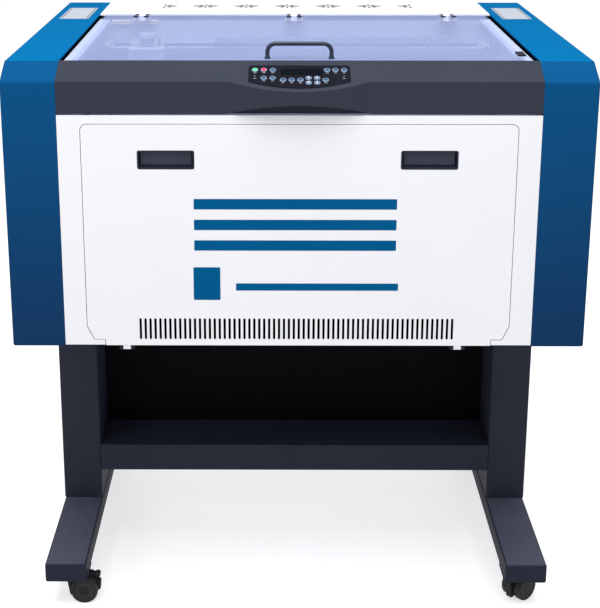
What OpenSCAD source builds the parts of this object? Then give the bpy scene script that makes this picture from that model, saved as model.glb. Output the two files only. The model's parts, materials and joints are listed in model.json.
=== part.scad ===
// Flatbed laser cutter on a wheeled stand: a wide cabinet with a hinged window lid and a
// drop-down front door over a moving gantry, a laser head and a lift table.
// Millimetres, +Z up, front towards -Y, origin on the floor under the middle of the machine.

/* [Cabinet] */
// Overall width across the side covers
body_w = 927; // [900:1:980]
// Depth from the front face to the rear panel
body_d = 790; // [770:1:840]
// Height of the cabinet above its underside
body_h = 459; // [440:1:480]
// Height of the cabinet's underside above the floor
body_z = 544; // [520:1:600]
// Width of each side cover
cover_w = 85.8; // [80:0.2:95]
// How far the front top edge slopes back
slope_run = 52.3; // [45:0.1:60]
// How far that slope drops at the front
slope_drop = 24.6; // [20:0.1:30]
// Sheet thickness of the casings
skin = 3; // [2:0.5:4]

/* [Front] */
// Half width of the door
door_half = 341; // [320:1:350]
// Height of the door
door_h = 365.5; // [340:0.5:370]
// Height of the bottom edge of the dark fascia above the underside
fascia_rise = 384; // [380:1:390]
// How far the control panel bows forward
bow_out = 24; // [15:1:30]
// Number of vent slots in the door
vent_slots = 64; // [20:2:64]
// Pitch of the vent slots
vent_pitch = 8; // [8:0.5:9]

/* [Lid] */
// Half width of the window lid
lid_half = 366; // [340:1:368]
// Depth of the window lid
lid_d = 538.8; // [500:0.1:545]
// Thickness of the window
lid_t = 5; // [4:0.5:6]
// Height of the handle loop above the lid
handle_h = 27; // [24:1:40]
// Distance between the feet of the handle
handle_span = 101.4; // [80:0.2:140]

/* [Motion] */
// Forward and back position of the gantry beam from the cabinet's middle
beam_y = 45; // [-300:1:157]
// Sideways position of the laser head
head_x = -270; // [-305:1:305]
// Height of the lift table's top
table_z = 800; // [620:1:890]
// Swivel angle of each caster: front left, front right, rear left, rear right
swivels = [0, 42, 25, 155]; // [0:1:360]

/* [Stand] */
// Distance from the centre line to the middle of each leg
leg_x = 410.8; // [400:0.1:420]
// Width of each leg
leg_w = 73.4; // [60:0.1:80]
// Depth of each leg
leg_d = 130; // [110:1:140]
// Length of each foot
foot_l = 656.5; // [600:0.5:700]
// Height of the foot tube
foot_h = 35; // [30:1:40]
// Height of the shelf's top
shelf_z = 205; // [180:1:240]

/* [Casters] */
// Wheel diameter
wheel_dia = 49; // [44:1:50]
// Overall height of a caster
caster_h = 58; // [56:1:60]
// Distance of the wheel behind its swivel
trail = 15; // [12:1:18]

/* [Hidden] */
$fn = 64;
gap = 0.3;
front = -body_d / 2;
back = body_d / 2;
top_z = body_z + body_h;
crease_z = top_z - slope_drop;
slope_a = atan(slope_drop / slope_run);
half_w = body_w / 2;
inner_half = half_w - cover_w;
wall = skin;
wall_x = inner_half - wall;
fascia_z = body_z + fascia_rise;

lid_front = front + slope_run + 5.2;
lid_rear = lid_front + lid_d;
lid_z = top_z - lid_t;
lid_axis = [0, lid_rear + 2.2, top_z - 2.5];
hinge_xs = [-295, -2, 293];
knuckle_r = 3.4;
pin_r = 1.5;
deck_front = lid_rear + 6;
bulkhead_y = lid_rear + 3.2;
bulkhead_top = top_z - 12;

door_z = body_z + 2;
door_top = door_z + door_h;
door_depth = 18;
door_axis = [0, front + 4, body_z - 3];
door_hinge_xs = [-278, 259];
door_knuckle_r = 3;
door_step = body_z + 12.5;
door_foot = 312;
door_corner = 330;
pull_xs = [-208.8, 204.3];
pull_w = 89.5;
pull_h = 30;
pull_z = 855;
paddle_z = 866.5;
paddle_y = front + 9;

rail_z = 930;
rail_size = 12;
rail_x = wall_x - rail_size;
beam_z = 935;
beam_h = 30;
beam_half = 340;
head_front = 62;
nozzle_z = 905;
grid_t = 12;
table_half = 326;
table_depth = 510;
table_mid = -65;
screw_r = 7;
screws = [[-350, -250], [-350, 120], [350, -65]];
nut_h = 24;

leg_front = front + 358;
foot_front = front + 94.5;
foot_top = caster_h + foot_h;
caster_ys = [front + 141, foot_front + foot_l - 34];
caster_x = leg_x - 12.8;
caster_spots = [[-caster_x, caster_ys[0]], [caster_x, caster_ys[0]],
                [-caster_x, caster_ys[1]], [caster_x, caster_ys[1]]];
caster_names = ["front_left", "front_right", "rear_left", "rear_right"];
wheel_r = wheel_dia / 2;
fender_half = 5.8;
wheel_in = 6.3;
wheel_out = 21;
axle_r = 4;
kingpin_r = 5;
brake_pin = [27, 50.5];

port = [-250, 640];
port_r = 50.8;
duct_r = 50;
duct_bore = 48.8;
window = [port[0] - 40, port[1] + 40, port[0] + 40];
inlet = [260, 600];

key_r = 4.8;
key_well = 5.1;
// each key: name, place across the panel, place up the slope, colour
KEYS = [
    ["key_go", -68.9, 30.6, "mediumseagreen"], ["key_stop", -55.2, 30.6, "crimson"],
    ["key_reset", -41.2, 30.6, "steelblue"], ["key_speed", 43.2, 30.2, "lightslategray"],
    ["key_power", 56.1, 30.2, "lightslategray"], ["key_focus", 69.5, 30.2, "lightslategray"],
    ["key_pointer", -55.2, 9, "steelblue"], ["key_job", -41.6, 9, "steelblue"],
    ["key_menu", -25.4, 3.7, "steelblue"], ["key_mode", -12, 3.7, "steelblue"],
    ["key_jog", 1.5, 3.7, "steelblue"], ["key_enter", 40.4, 3.7, "steelblue"],
    ["key_left", 14.1, 9, "white"], ["key_up", 27.2, 9, "white"],
    ["key_right", 14.1, -3.5, "white"], ["key_down", 27.2, -3.5, "white"]];
display = [3.5, 24.6, 65, 16.6];
plate_half = 79;
plate_top = 43;
plate_bow = 17.5;
plate_proud = 1;
plate_deep = 2.6;

FIXED = ["chassis_tub", "front_frame", "rear_panel", "rear_deck", "control_fascia",
         "keypad_plate", "display_window", "left_side_cover", "right_side_cover",
         "laser_tube", "y_rails", "hinge_bases", "exhaust_collar", "power_inlet",
         "electronics_box", "stand_legs", "stand_feet", "storage_shelf"];
MOVING = ["lid_window", "lid_handle", "lid_hinge_leaves", "door_panel", "door_pull_cups",
          "left_latch", "right_latch", "gantry_beam", "laser_head", "table_frame",
          "honeycomb_grid", "lead_screw_1", "lead_screw_2", "lead_screw_3", "power_switch",
          "caster_brake_front_left", "caster_brake_front_right"];

function bow_radius(half, rise) = (half * half + rise * rise) / (2 * rise);
function slope_line(y, inset) = crease_z + (y - front) * tan(slope_a) - inset / cos(slope_a);

module both_sides() {
    children();
    mirror([1, 0, 0]) children();
}

// a box given by its low corner and its high corner
module span(low, high) translate(low) cube(high - low);

// a profile drawn in Y and Z, pulled along X between two places
module along_x(x0, x1) translate([x0, 0, 0]) rotate([90, 0, 90]) linear_extrude(x1 - x0) children();

// a front outline drawn in X and Z, pulled back along Y from y0 to y1
module along_y(y0, y1) translate([0, y1, 0]) rotate([90, 0, 0]) linear_extrude(y1 - y0) children();

// local frame on the sloping control panel: X across, Y up the slope, Z out of it
module on_slope() translate([0, front, crease_z]) rotate([slope_a, 0, 0]) children();

module rounded_plate(w, h, r) {
    square([w - 2 * r, h], center = true);
    square([w, h - 2 * r], center = true);
    for (x = [-1, 1], y = [-1, 1])
        translate([x * (w / 2 - r), y * (h / 2 - r)]) circle(r);
}

// ---- casings ----

module cover_profile(inset) polygon([
    [front + inset, body_z + inset], [back - inset, body_z + inset],
    [back - inset, top_z - inset],
    [front + (top_z - inset - crease_z + inset / cos(slope_a)) / tan(slope_a), top_z - inset],
    [front + inset, slope_line(front + inset, inset)]]);

module side_cover() color("dodgerblue") difference() {
    along_x(inner_half, half_w) cover_profile(0);
    along_x(inner_half - 1, half_w - skin) cover_profile(skin);
}

module chassis_tub() color("silver") {
    // side walls, floor, bulkhead and tube shelf are folded panels, kept a hair apart
    both_sides() {
        along_x(wall_x, inner_half - 0.2) cover_profile(wall + 6);
        span([lid_half - 10, lid_front + 20, top_z - 14], [wall_x - gap, lid_rear - 4, top_z - 9]);
    }
    span([-wall_x + gap, front + 30, body_z + 4], [wall_x - gap, back - 4, body_z + 7]);
    // the bulkhead leaves a square window for the exhaust duct
    span([-wall_x + gap, bulkhead_y, window[1] + gap], [wall_x - gap, bulkhead_y + 2, bulkhead_top]);
    span([window[2] + gap, bulkhead_y, body_z + 8], [wall_x - gap, bulkhead_y + 2, window[1]]);
    span([-wall_x + gap, bulkhead_y, body_z + 8], [window[0] - gap, bulkhead_y + 2, window[1]]);
    span([window[0], bulkhead_y, body_z + 8], [window[2], bulkhead_y + 2, port[1] - 40]);
    span([-wall_x + gap, bulkhead_y + 2 + gap, 860], [wall_x - gap, back - 4, 863]);
}

// outline of the door: round top corners, cut bottom corners and a stepped bottom edge
module door_outline(grow) union() {
    top_r = 10;
    polygon([
        [-door_half - grow, door_top - top_r], [-door_half - grow, body_z + 35.5 - grow],
        [-door_corner - grow, door_step - grow], [-door_foot - grow, door_step - grow],
        [-door_foot - grow, door_z - 10 * grow], [door_foot + grow, door_z - 10 * grow],
        [door_foot + grow, door_step - grow], [door_corner + grow, door_step - grow],
        [door_half + grow, body_z + 35.5 - grow], [door_half + grow, door_top - top_r]]);
    translate([-door_half + top_r, door_top - top_r - 1])
        square([2 * (door_half - top_r), top_r + 1 + grow]);
    for (s = [-1, 1])
        translate([s * (door_half - top_r), door_top - top_r]) circle(top_r + grow);
}

module front_frame() color("white") {
    difference() {
        along_y(front, front + skin) difference() {
            translate([-inner_half + 0.2, body_z + 3])
                square([2 * inner_half - 0.4, fascia_z - body_z - 5]);
            door_outline(1);
            translate([-door_foot - 1, body_z]) square([2 * door_foot + 2, 20]);
        }
        both_sides() span([door_half + 1.5, front - 1, fascia_z - 30], [door_half + 2, front, fascia_z]);
    }
    // return flanges that stiffen the posts
    both_sides() span([wall_x - 12, front + skin + gap, body_z + 16], [wall_x - gap, front + 20, 920]);
}

module rear_panel() color("white") difference() {
    span([-inner_half + 0.2, back - skin, body_z + 4], [inner_half - 0.2, back, top_z - skin - gap]);
    translate([port[0], back - skin - 1, port[1]]) rotate([-90, 0, 0])
        cylinder(r = duct_r + gap, h = skin + 2);
    translate([inlet[0] - 35, back - skin - 1, inlet[1] - 24]) cube([70, skin + 2, 48]);
    for (i = [0:15], side = [0, 150])
        translate([-75 + i * 10 + side, back - skin - 1, 900]) cube([4, skin + 2, 50]);
}

// seven round groups of radial vent slots; the outer two are halves
module rear_deck() color("white") difference() {
    span([-inner_half + 0.2, deck_front, top_z - skin], [inner_half - 0.2, back, top_z]);
    for (i = [-3:3]) translate([-14 + i * 82.5, front + 726, top_z - skin - 1])
        for (a = [0:30:330])
            if (!(i == -3 && (a > 90 && a < 270)) && !(i == 3 && (a < 90 || a > 270)))
                rotate(a) translate([8, -1.5, 0]) cube([18, 3, skin + 2]);
}

module control_fascia() color("dimgray") {
    scoop_half = 112;
    scoop_rise = 17.5;
    scoop_r = bow_radius(scoop_half, scoop_rise);
    bow_half = 107;
    bow_r = bow_radius(bow_half, bow_out);
    difference() {
        union() {
            along_x(-inner_half + 0.2, inner_half - 0.2) polygon([
                [front, fascia_z], [front, crease_z], [front + slope_run, top_z],
                [front + slope_run, top_z - 5.6], [front + 74, top_z - 5.6],
                [front + 74, top_z - 8.6], [front + 45, top_z - 8.6],
                [front + skin + 5, crease_z - 5], [front + skin, crease_z - 9],
                [front + skin, fascia_z]]);
            span([-112, front + skin - 0.01, fascia_z], [112, front + 9, fascia_z + 18]);
            // belly of the bowed control panel
            intersection() {
                translate([0, front - bow_out + bow_r, fascia_z]) cylinder(r = bow_r, h = 80, $fn = 200);
                along_x(-bow_half, bow_half) polygon([
                    [front - bow_out - 1, fascia_z], [front + skin - 0.01, fascia_z],
                    [front + skin - 0.01, slope_line(front + skin - 0.01, 0.01)],
                    [front - bow_out - 1, slope_line(front - bow_out - 1, 0.01)]]);
            }
        }
        // arched underside of the belly, with a shallow crescent behind it
        translate([0, front - bow_out - 1, fascia_z + scoop_rise - scoop_r]) rotate([-90, 0, 0])
            cylinder(r = scoop_r, h = bow_out + 6.5, $fn = 180);
        // pocket for the keypad
        on_slope() translate([0, 0, -plate_deep - 0.2]) linear_extrude(10) plate_outline(0.3);
    }
}

module plate_outline(grow) {
    plate_r = bow_radius(plate_half, plate_bow);
    corner_r = 6;
    low = -plate_bow;
    intersection() {
        union() {
            translate([-plate_half - grow, low - grow])
                square([2 * (plate_half + grow), plate_top - corner_r - low + grow]);
            translate([-plate_half + corner_r, 0])
                square([2 * (plate_half - corner_r), plate_top + grow]);
            for (s = [-1, 1])
                translate([s * (plate_half - corner_r), plate_top - corner_r]) circle(corner_r + grow);
        }
        translate([0, plate_r - plate_bow]) circle(plate_r + grow, $fn = 200);
    }
}

module keypad_plate() color("black") on_slope() difference() {
    translate([0, 0, -plate_deep]) linear_extrude(plate_deep + plate_proud) plate_outline(0);
    for (k = KEYS) translate([k[1], k[2], -1.9]) cylinder(r = key_well, h = 5);
    translate([display[0], display[1], 0]) linear_extrude(5)
        square([display[2] + 0.4, display[3] + 0.4], center = true);
}

module display_window() color("darkslategray") on_slope()
    translate([display[0], display[1], 0]) linear_extrude(0.8)
        square([display[2], display[3]], center = true);

module control_key(k) color(k[3]) on_slope() translate([k[1], k[2], -1.1]) {
    cylinder(r = key_r, h = 2.6);
    translate([0, 0, 2.6]) cylinder(r1 = key_r, r2 = key_r - 1.2, h = 0.8);
}

// ---- lid ----

module lid_window() color("lightsteelblue") difference() {
    span([-lid_half, lid_front, lid_z], [lid_half, lid_rear, top_z]);
    for (x = hinge_xs) span([x - 15, lid_rear - 4, lid_z - 1], [x + 15, lid_rear + 1, top_z + 1]);
}

module lid_handle() color("slategray") {
    r = 3.4;
    bend = 13;
    half = handle_span / 2;
    rise = handle_h - r - bend;
    translate([0.8, lid_front + 14, top_z]) {
        for (s = [-1, 1]) {
            translate([s * half, 0, 0]) cylinder(r1 = 5, r2 = r, h = 4);
            translate([s * half, 0, 0]) cylinder(r = r, h = rise);
        }
        translate([half - bend, 0, rise]) rotate([90, 0, 0]) rotate_extrude(angle = 90)
            translate([bend, 0]) circle(r, $fn = 32);
        mirror([1, 0, 0]) translate([half - bend, 0, rise]) rotate([90, 0, 0])
            rotate_extrude(angle = 90) translate([bend, 0]) circle(r, $fn = 32);
        translate([bend - half, 0, rise + bend]) rotate([0, 90, 0])
            cylinder(r = r, h = 2 * (half - bend));
    }
}

// each leaf lies under the window and carries the middle knuckle
module lid_hinge_leaves() color("gainsboro") for (x = hinge_xs) difference() {
    union() {
        span([x - 18, lid_rear - 55, lid_z - 2], [x + 18, lid_rear - 4.5, lid_z]);
        span([x - 6, lid_rear - 5, lid_z - 2], [x + 6, lid_axis[1], lid_z]);
        translate([x - 6, lid_axis[1], lid_axis[2]]) rotate([0, 90, 0]) cylinder(r = knuckle_r, h = 12);
    }
    translate([x - 7, lid_axis[1], lid_axis[2]]) rotate([0, 90, 0]) cylinder(r = pin_r + 0.05, h = 14);
}

// fixed halves of the lid hinges and the door hinges, each with its pin
module hinge_bases() color("dimgray") {
    for (x = hinge_xs) translate([x, lid_axis[1], lid_axis[2]]) {
        translate([-13, 0, 0]) rotate([0, 90, 0]) cylinder(r = pin_r, h = 26);
        for (s = [-13, 6.3]) difference() {
            union() {
                translate([s, 0, 0]) rotate([0, 90, 0]) cylinder(r = knuckle_r, h = 6.7);
                translate([s, 0.6 - knuckle_r, bulkhead_top - lid_axis[2]])
                    cube([6.7, 2 * knuckle_r - 0.6, lid_axis[2] - bulkhead_top]);
            }
            translate([s - 1, 0, 0]) rotate([0, 90, 0]) cylinder(r = pin_r, h = 9);
        }
    }
    for (x = door_hinge_xs) translate([x, door_axis[1], door_axis[2]]) {
        translate([-12, 0, 0]) rotate([0, 90, 0]) cylinder(r = pin_r, h = 24);
        for (s = [-12, 6.3]) difference() {
            union() {
                translate([s, 0, 0]) rotate([0, 90, 0]) cylinder(r = door_knuckle_r, h = 5.7);
                translate([s, 0, -3]) cube([5.7, 34, 3]);
                translate([s, 31, -3]) cube([5.7, 3, 10]);
            }
            translate([s - 1, 0, 0]) rotate([0, 90, 0]) cylinder(r = pin_r, h = 8);
        }
    }
}

// ---- door ----

module door_panel() color("white") difference() {
    union() {
        along_y(front, front + door_depth) door_outline(0);
        for (x = door_hinge_xs) translate([x - 6, door_axis[1], door_axis[2]]) {
            rotate([0, 90, 0]) cylinder(r = door_knuckle_r, h = 12);
            translate([0, -door_knuckle_r, 0]) cube([12, 2 * door_knuckle_r, 6]);
        }
    }
    for (x = door_hinge_xs) translate([x - 7, door_axis[1], door_axis[2]])
        rotate([0, 90, 0]) cylinder(r = pin_r + 0.05, h = 14);
    along_y(front + 2.5, front + door_depth + 1) difference() {
        translate([-door_half + 3, door_z + 16]) square([2 * door_half - 6, door_h - 19]);
        for (s = [-1, 1]) translate([s * (door_half + 4), door_z]) rotate(45) square(50, center = true);
    }
    along_y(front - 1, front + door_depth + 1) {
        for (x = pull_xs) translate([x, pull_z]) rounded_plate(pull_w + 0.4, pull_h + 0.4, 3);
        for (i = [0:vent_slots - 1])
            translate([(i - (vent_slots - 1) / 2) * vent_pitch - 2.8, 574]) square([4, 36], center = true);
    }
}

module door_pull_cups() color("black") for (x = pull_xs) difference() {
    along_y(front + 0.3, front + 16) translate([x, pull_z]) rounded_plate(pull_w, pull_h, 2.8);
    along_y(front - 1, front + 14.4) translate([x, pull_z])
        square([pull_w - 3, pull_h - 3], center = true);
}

// paddle inside a pull, hung from its own short trunnions
module latch_paddle(x) color("dimgray") translate([x, paddle_y, paddle_z]) {
    rotate([0, 90, 0]) cylinder(r = 1.4, h = pull_w - 3.8, center = true);
    span([-40, -1.1, -21], [40, 1.1, 0]);
}

// ---- motion system ----

module y_rails() color("lightgray") both_sides()
    span([rail_x, front + 25, rail_z], [wall_x - gap, bulkhead_y - 6, rail_z + rail_size]);

module gantry_beam() color("silver") translate([0, beam_y, 0]) {
    difference() {
        span([-beam_half, -20, beam_z], [beam_half, 25, beam_z + beam_h]);
        span([-beam_half - 1, -21, beam_z + 11], [beam_half + 1, -14, beam_z + 19]);
        span([-beam_half - 1, -4, beam_z + 5], [beam_half + 1, 19, beam_z + beam_h - 5]);
    }
    both_sides() {
        span([beam_half, -35, beam_z - 8], [beam_half + 20, 35, beam_z + beam_h + 6]);
        span([beam_half + 20, -30, rail_z + rail_size + gap],
             [wall_x - 1, 30, rail_z + rail_size + 12]);
    }
}

module laser_head() color("dimgray") translate([head_x, beam_y, 0]) {
    span([-32, -head_front, 925], [32, -20 - gap, 978]);
    span([-32, -20 - gap, beam_z + beam_h + gap], [32, 10, 978]);
    translate([0, -head_front + 20, nozzle_z]) cylinder(r1 = 6, r2 = 16, h = 12);
    translate([0, -head_front + 20, nozzle_z + 12]) cylinder(r = 16, h = 8);
}

module table_frame() color("silver") {
    lug_x = screws[0][0];
    difference() {
        union() {
            difference() {
                span([-table_half, table_mid - table_depth / 2, table_z - 24],
                     [table_half, table_mid + table_depth / 2, table_z]);
                span([-table_half + 9, table_mid - table_depth / 2 + 9, table_z - 25],
                     [table_half - 9, table_mid + table_depth / 2 - 9, table_z + 1]);
            }
            // cross bars that carry the grid
            for (y = [-150, 0, 150]) span([-table_half + 5, table_mid + y - 8, table_z - 24],
                                          [table_half - 5, table_mid + y + 8, table_z - grid_t - 0.2]);
            for (p = screws) translate([p[0], p[1], table_z - nut_h]) {
                cylinder(r = 15, h = nut_h);
                translate([p[0] > 0 ? -30 : 0, -12, 0]) cube([30, 24, nut_h]);
            }
        }
        for (p = screws) translate([p[0], p[1], table_z - nut_h - 1])
            cylinder(r = screw_r + 0.3, h = nut_h + 2);
    }
}

module honeycomb_grid() color("gray") {
    cell = 38;
    grid_w = 2 * table_half - 19;
    grid_d = table_depth - 19;
    translate([0, table_mid, table_z - grid_t]) linear_extrude(grid_t) difference() {
        square([grid_w, grid_d], center = true);
        for (i = [-7:7], j = [-6:6])
            translate([i * (cell + 1.5), j * 36 + (i % 2 == 0 ? 0 : 18)])
                if (abs(j * 36 + (i % 2 == 0 ? 0 : 18)) < grid_d / 2 - 20) circle(cell / 2, $fn = 6);
    }
}

module lead_screw(p) color("lightgray") translate([p[0], p[1], body_z + 7 + gap]) {
    cylinder(r = screw_r, h = 360);
    cylinder(r = 13, h = 14);
}

// ---- inside the rear compartment ----

module laser_tube() color("silver") {
    for (i = [0:6]) span([-330, 262 + i * 12, 872], [270, 268 + i * 12, 965]);
    span([-330, 262, 885], [270, 340, 950]);
    translate([-330, 300, 950 - 32]) rotate([0, -90, 0]) cylinder(r = 18, h = 12);
    for (x = [-250, 190]) span([x - 20, 256, 863.2], [x + 20, 346, 872]);
}

module electronics_box() color("gray") {
    span([-80, 230, body_z + 7.2], [330, 370, body_z + 150]);
    for (i = [0:9]) span([-60 + i * 40, 250, body_z + 150], [-56 + i * 40, 350, body_z + 158]);
}

// hose collar outside, duct through the rear compartment inside
module exhaust_collar() color("lightgray") translate([port[0], back, port[1]]) rotate([-90, 0, 0]) {
    duct_l = back - bulkhead_y - 2 - gap;
    difference() {
        union() {
            cylinder(r = port_r, h = bow_out, $fn = 96);
            cylinder(r = port_r + 14, h = 2, $fn = 96);
            translate([0, 0, -duct_l]) cylinder(r = duct_r, h = duct_l, $fn = 96);
        }
        translate([0, 0, -duct_l - 1]) cylinder(r = duct_bore, h = duct_l + bow_out + 2, $fn = 96);
    }
}

module power_inlet() color("black") translate([inlet[0], back, inlet[1]]) {
    difference() {
        span([-34.6, -22, -23.6], [34.6, 3, 23.6]);
        span([2, -14, -14], [26, 4, 14]);
        span([-24, -14, -13], [-10, 4, 13]);
    }
}

module power_switch() color("darkred") translate([inlet[0] - 17, back - 2, inlet[1]]) {
    rotate([0, 90, 0]) cylinder(r = 3, h = 13.4, center = true);
    rotate([8, 0, 0]) span([-6.7, 0, -12], [6.7, 4, 12]);
}

// ---- stand ----

module tube_shell(low, high, t) difference() {
    span(low, high);
    span(low + [t, t, t], high - [t, t, t]);
}

module stand_legs() color("dimgray") both_sides()
    tube_shell([leg_x - leg_w / 2 + 1.2, leg_front, foot_top],
               [leg_x + leg_w / 2 + 1.2, leg_front + leg_d, body_z], skin);

module stand_feet() color("dimgray") {
    both_sides() tube_shell([leg_x - leg_w / 2, foot_front, caster_h],
                            [leg_x + leg_w / 2, foot_front + foot_l, foot_top], skin);
    // caster plates and kingpins, each a hair apart
    for (p = caster_spots) translate([p[0], p[1], 0]) {
        translate([-24, -28, caster_h - 2.5]) cube([48, 56, 2.3]);
        translate([0, 0, 45]) cylinder(r = kingpin_r, h = caster_h - 47.7);
    }
}

module storage_shelf() color("dimgray") {
    inside = leg_x - leg_w / 2 + 1;
    span([-inside, leg_front, shelf_z - 53], [inside, leg_front + skin, shelf_z]);
    span([-inside, leg_front + skin + gap, shelf_z - skin], [inside, leg_front + leg_d - skin - gap, shelf_z]);
    span([-inside, leg_front + leg_d - skin, shelf_z - 53], [inside, leg_front + leg_d, body_z]);
}

// ---- casters, drawn with the swivel axis on Z and the wheel trailing towards +X ----

module caster_at(i) translate([caster_spots[i][0], caster_spots[i][1], 0]) rotate(swivels[i]) children();

// a fender between the two wheels, with a swivel disc above it
module caster_fork(i, braked) color("black") caster_at(i) difference() {
    union() {
        translate([0, 0, 49.6]) cylinder(r = 14, h = 5.4);
        along_y(-fender_half, fender_half)
            polygon([[-19, 54], [-19, 51], [-12.5, 9], [-7, 9], [trail - 7, 14], [trail + 9, 14],
                     [38, 18], [43, 21], [44, 37], [36, 40], [31, 43], [21, 54]]);
        if (braked) {
            for (y = [-fender_half, 3.5]) span([21, y, 41], [31, y + fender_half - 3.5, 54]);
            translate([brake_pin[0], 0, brake_pin[1]]) rotate([90, 0, 0])
                cylinder(r = 1.2, h = 2 * fender_half, center = true);
        }
    }
    if (braked) difference() {
        span([21, -3.5, 41.5], [60, 3.5, 60]);
        translate([brake_pin[0], 0, brake_pin[1]]) rotate([90, 0, 0]) cylinder(r = 1.2, h = 8, center = true);
    }
    translate([0, 0, 40]) cylinder(r = kingpin_r + 0.05, h = 20);
    translate([trail, 0, wheel_r]) rotate([90, 0, 0])
        cylinder(r = axle_r + 0.05, h = 3 * fender_half, center = true);
}

module caster_wheel(i) color("black") caster_at(i) translate([trail, 0, wheel_r]) rotate([90, 0, 0]) {
    for (s = [0, 1]) mirror([0, 0, s]) translate([0, 0, wheel_in])
        cylinder(r = wheel_r, h = wheel_out - wheel_in);
    cylinder(r = axle_r, h = 2 * wheel_in + 1, center = true);
}

// pedal with a round bar across its end, hung between two ears of the fender
module caster_brake(i) color("black") caster_at(i) difference() {
    union() {
        translate([brake_pin[0], 0, brake_pin[1]]) rotate([90, 0, 0])
            cylinder(r = 2.6, h = 6.4, center = true);
        span([brake_pin[0], -3.2, 48.7], [33, 3.2, 52.3]);
        span([32, -5.5, 46.5], [38.5, 5.5, 52.3]);
        translate([38.5, 0, 49]) rotate([90, 0, 0]) cylinder(r = 5, h = 12, center = true);
    }
    translate([brake_pin[0], 0, brake_pin[1]]) rotate([90, 0, 0])
        cylinder(r = 1.25, h = 14, center = true);
}

chassis_tub();
front_frame();
rear_panel();
rear_deck();
control_fascia();
keypad_plate();
display_window();
mirror([1, 0, 0]) side_cover();  // left_side_cover
side_cover();  // right_side_cover
laser_tube();
y_rails();
hinge_bases();
exhaust_collar();
power_inlet();
electronics_box();
stand_legs();
stand_feet();
storage_shelf();
lid_window();
lid_handle();
lid_hinge_leaves();
door_panel();
door_pull_cups();
latch_paddle(pull_xs[0]);  // left_latch
latch_paddle(pull_xs[1]);  // right_latch
gantry_beam();
laser_head();
table_frame();
honeycomb_grid();
lead_screw(screws[0]);  // lead_screw_1
lead_screw(screws[1]);  // lead_screw_2
lead_screw(screws[2]);  // lead_screw_3
power_switch();
caster_brake(0);  // caster_brake_front_left
caster_brake(1);  // caster_brake_front_right
for (k = KEYS) control_key(k);
for (i = [0:3]) {
    caster_fork(i, i < 2);
    caster_wheel(i);
}
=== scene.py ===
"""Looks of a flatbed laser cutter on a wheeled stand. Metres, +Z up, front towards -Y."""

import json
from math import atan, cos, pi, radians, sin

import bmesh
import bpy
from mathutils import Matrix, Vector


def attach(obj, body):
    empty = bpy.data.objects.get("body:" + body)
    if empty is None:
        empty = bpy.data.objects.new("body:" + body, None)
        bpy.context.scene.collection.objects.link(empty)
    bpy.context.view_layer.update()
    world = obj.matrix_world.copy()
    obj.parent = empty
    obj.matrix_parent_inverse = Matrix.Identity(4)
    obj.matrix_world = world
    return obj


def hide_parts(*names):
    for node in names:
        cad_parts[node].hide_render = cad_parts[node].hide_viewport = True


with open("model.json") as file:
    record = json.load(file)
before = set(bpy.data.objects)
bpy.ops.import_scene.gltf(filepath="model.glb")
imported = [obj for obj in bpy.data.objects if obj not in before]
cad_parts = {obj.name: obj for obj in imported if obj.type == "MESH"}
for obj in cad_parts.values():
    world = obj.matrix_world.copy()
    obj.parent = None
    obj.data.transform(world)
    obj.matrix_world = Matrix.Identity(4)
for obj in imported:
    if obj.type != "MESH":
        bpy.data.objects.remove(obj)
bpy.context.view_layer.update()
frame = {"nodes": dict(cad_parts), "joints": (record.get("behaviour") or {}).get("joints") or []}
nodes = frame["nodes"]
joints = {joint["name"]: joint for joint in frame["joints"]}

# main places of the machine, in millimetres
FRONT = -395
BACK = 395
BOTTOM = 544
TOP = 1003
CREASE = 978.4
SLOPE = atan(24.6 / 52.3)
OUTER = 463.5
INNER = 377.7
FASCIA = 928
HINGES = (-295, -2, 293)
LID_FRONT = -337.5
LID_REAR = 201.3
HEAD_X = -270
BEAM_Y = 45
LEG_FRONT = -37
LEG_REAR = 93
LEG_INNER = 375.4
LEG_OUTER = 448.7
FOOT_LOW = 58
FOOT_TOP = 93
SHELF_LOW = 152
SHELF_TOP = 205
GRID_TOP = 799.8


# ---- camera ----

def set_camera():
    bpy.ops.object.camera_add(location=(-0.0352, -2.5636, 1.3669),
                              rotation=(radians(73.376), 0, radians(0.287)))
    camera = bpy.context.object
    camera.data.lens = 84.231
    camera.data.sensor_width = 36
    camera.data.shift_x = 0.05
    camera.data.shift_y = -0.10
    bpy.context.scene.camera = camera


# ---- modelling helpers: places and sizes are in millimetres ----

def metres(point):
    return Vector(point) / 1000


def clear():
    if bpy.context.mode != "OBJECT":
        bpy.ops.object.mode_set(mode="OBJECT")
    bpy.ops.object.select_all(action="DESELECT")


def take(piece):
    clear()
    piece.select_set(True)
    bpy.context.view_layer.objects.active = piece


def settle(name):
    piece = bpy.context.object
    piece.name = name
    bpy.ops.object.transform_apply(location=True, rotation=True, scale=True)
    return piece


def block(name, low, high):
    clear()
    low, high = metres(low), metres(high)
    bpy.ops.mesh.primitive_cube_add(size=1, location=(low + high) / 2)
    bpy.context.object.scale = high - low
    return settle(name)


def rod(name, radius, start, end, sides=32):
    clear()
    start, end = metres(start), metres(end)
    turn = (end - start).to_track_quat("Z", "Y").to_euler()
    bpy.ops.mesh.primitive_cylinder_add(vertices=sides, radius=radius / 1000,
                                        depth=(end - start).length,
                                        location=(start + end) / 2, rotation=turn)
    return settle(name)


def edit(piece, kind, test):
    """Opens the piece for editing, with the parts that the test accepts selected."""
    take(piece)
    bpy.ops.object.mode_set(mode="EDIT")
    bpy.ops.mesh.select_mode(type=kind)
    bpy.ops.mesh.select_all(action="DESELECT")
    mesh = bmesh.from_edit_mesh(piece.data)
    parts = {"FACE": mesh.faces, "EDGE": mesh.edges, "VERT": mesh.verts}[kind]
    for part in [p for p in parts if test(p)]:
        part.select_set(True)
    mesh.select_flush_mode()
    bmesh.update_edit_mesh(piece.data)


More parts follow.
